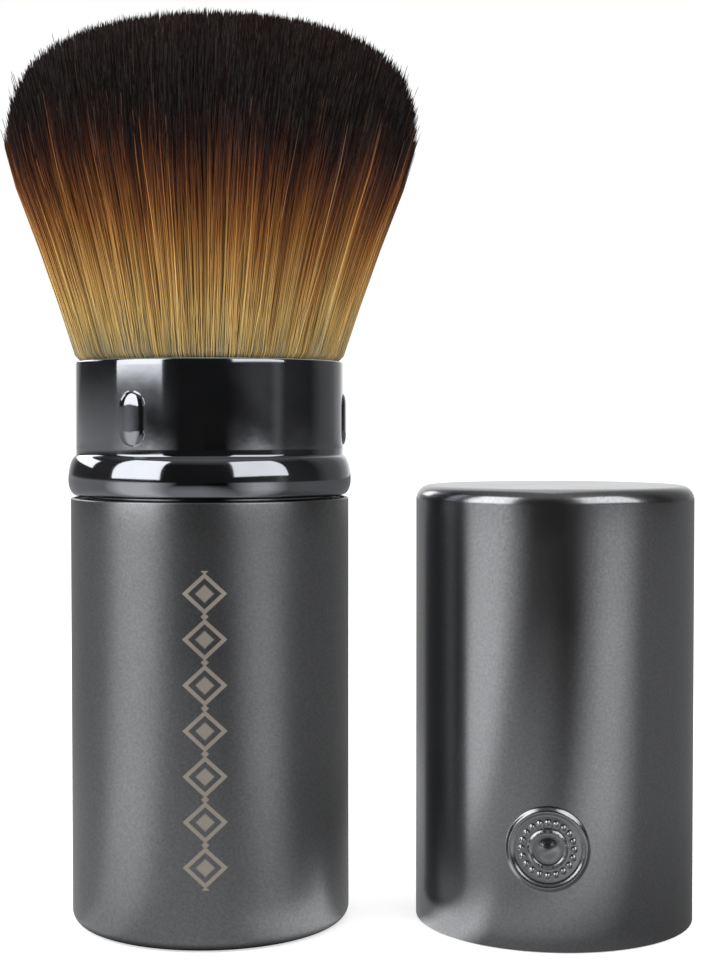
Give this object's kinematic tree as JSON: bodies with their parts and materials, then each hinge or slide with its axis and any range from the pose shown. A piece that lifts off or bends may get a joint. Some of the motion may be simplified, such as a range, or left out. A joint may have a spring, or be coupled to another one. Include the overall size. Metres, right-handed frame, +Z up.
{
  "type": "retractable face brush",
  "caption": "Retractable face brush with a domed bristle head, polished collar, satin metal can and a matching lift-off cap standing beside it.",
  "frame": {"origin": "centre of the can's flat bottom, on the brush's axis, at the height of the surface it stands on", "axes": "+Z up the brush's axis to the bristles, +X from the brush to the cap that stands beside it, -Y to the front"},
  "size_m": [0.0862, 0.0501, 0.1124],
  "materials": {
    "satin_gunmetal": "fine bead-blasted and dark anodised, satin",
    "cap_gunmetal": "fine bead-blasted and dark anodised, satin",
    "polished_gunmetal": "polished and dark chrome plated",
    "tube_gunmetal": "drawn and polished",
    "black_moulding": "moulded, fine texture",
    "grey_moulding": "moulded",
    "insert_moulding": "moulded",
    "slider_moulding": "moulded acetal",
    "pale_moulding": "moulded",
    "zinc_steel": "pressed, zinc plated",
    "screw_steel": "zinc plated",
    "bare_aluminium": "drawn and rolled",
    "amber_resin": "cast resin",
    "dipped_fibre": "soft synthetic fibre, straw at the root and near black at the dipped tip"
  },
  "bodies": {
    "base": {"base_can": "satin_gunmetal", "guide_liner": "black_moulding", "base_weight": "zinc_steel", "post_screw": "screw_steel", "brush_post": "grey_moulding", "ferrule": "bare_aluminium", "glue_plug": "amber_resin", "bristles": "dipped_fibre"},
    "sleeve": {"collar": "polished_gunmetal", "collar_insert": "insert_moulding", "slide_tube": "tube_gunmetal", "slider_ring": "slider_moulding"},
    "cap": {"cap_shell": "cap_gunmetal", "cap_liner": "pale_moulding"}
  },
  "joints": [
    {"name": "sleeve_slide", "type": "slide", "parent": "base", "child": "sleeve", "axis": [0, 0, 1], "range_m": [0, 0.0398], "deforming": ["bristles"]},
    {"name": "cap_lift", "type": "slide", "parent": "base", "child": "cap", "axis": [0, 0, 1], "range_m": [0, 0.12]}
  ]
}
